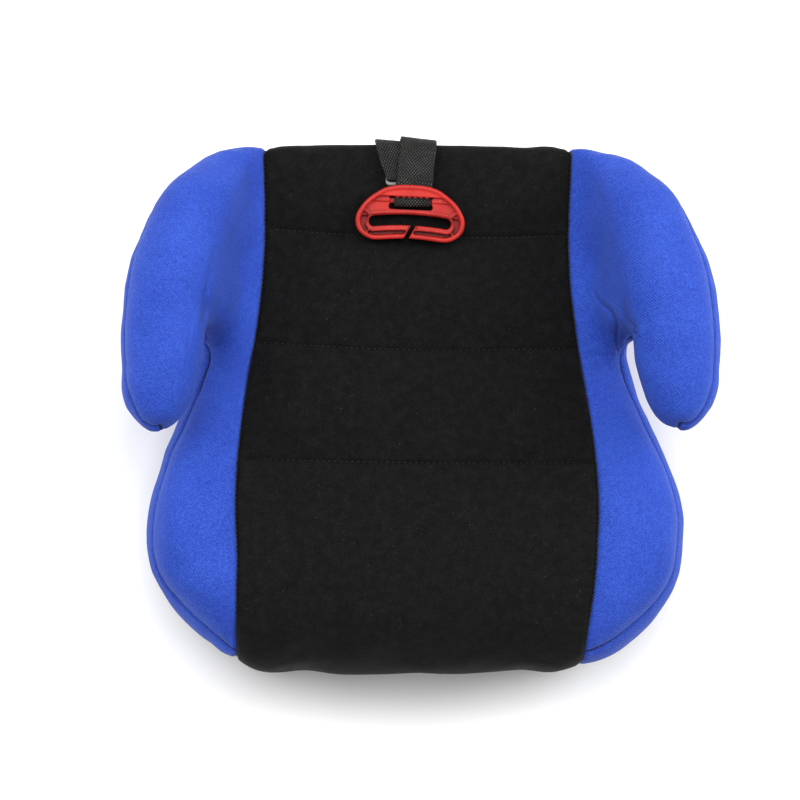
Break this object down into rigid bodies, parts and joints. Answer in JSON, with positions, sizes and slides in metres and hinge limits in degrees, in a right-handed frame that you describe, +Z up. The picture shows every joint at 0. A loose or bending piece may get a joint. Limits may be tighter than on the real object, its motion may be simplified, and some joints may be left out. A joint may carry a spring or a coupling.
{
  "type": "booster seat",
  "caption": "Backless child booster seat with armrests: ribbed plastic shell, foam, two-colour sewn cover and a webbing strap carrying a shoulder-belt guide.",
  "frame": {"origin": "on the ground, at the bottom centre of the whole object's box, strap included", "axes": "+Z up, -Y towards the front edge of the seat, +X towards the right armrest as seen from the front"},
  "size_m": [0.4026, 0.3714, 0.1888],
  "materials": {
    "blue_fabric": "royal blue laminated knit with a fine diagonal grain, matt, slight sheen at grazing angles",
    "black_fabric": "black brushed knit, quilted, matt",
    "black_webbing": "black polyester webbing, coarse herringbone weave",
    "red_plastic": "red moulded nylon, semi-gloss",
    "grey_plastic": "light grey moulded nylon, satin",
    "shell_plastic": "black moulded polypropylene with a fine spark texture",
    "foam": "light polyurethane foam",
    "steel": "drawn steel rod",
    "elastic": "black knitted elastic cord"
  },
  "bodies": {
    "root": {"seat_shell": "shell_plastic", "seat_foam": "foam", "armrest_foam_left": "foam", "armrest_foam_right": "foam", "cover_centre_panel": "black_fabric", "cover_rear_panel": "black_fabric", "cover_bolster_left": "blue_fabric", "cover_bolster_right": "blue_fabric", "cover_skirt_left": "blue_fabric", "cover_skirt_right": "blue_fabric", "armrest_under_left": "blue_fabric", "armrest_under_right": "blue_fabric", "hem_elastic": "elastic", "hem_hook_1": "shell_plastic", "hem_hook_2": "shell_plastic", "hem_hook_3": "shell_plastic", "hem_hook_4": "shell_plastic", "hem_hook_5": "shell_plastic", "hem_hook_6": "shell_plastic", "strap_anchor_bar": "steel", "strap_rear_run": "black_webbing"},
    "strap": {"strap_lower_rear": "black_webbing", "strap_upper_rear": "black_webbing"},
    "adjuster": {"strap_adjuster": "grey_plastic", "strap_lower_front": "black_webbing", "strap_upper_front": "black_webbing"},
    "guide": {"belt_guide": "red_plastic", "strap_loop": "black_webbing"},
    "tail": {"strap_tail": "black_webbing"}
  },
  "joints": [
    {"name": "strap_fold", "type": "hinge", "parent": "root", "child": "strap", "pos_m": [0, 0.17482, 0.1165], "axis": [-1, 0, 0], "range_deg": [0, 110]},
    {"name": "strap_length", "type": "slide", "parent": "strap", "child": "adjuster", "axis": [0, -0.9995, -0.03], "range_m": [0, 0.045]},
    {"name": "guide_turn", "type": "hinge", "parent": "adjuster", "child": "guide", "pos_m": [-0.0058, 0.15052, 0.1229], "axis": [-1, 0, 0], "range_deg": [0, 95]},
    {"name": "tail_swing", "type": "hinge", "parent": "root", "child": "tail", "pos_m": [0, 0.17482, 0.1165], "axis": [1, 0, 0], "range_deg": [0, 60]}
  ]
}
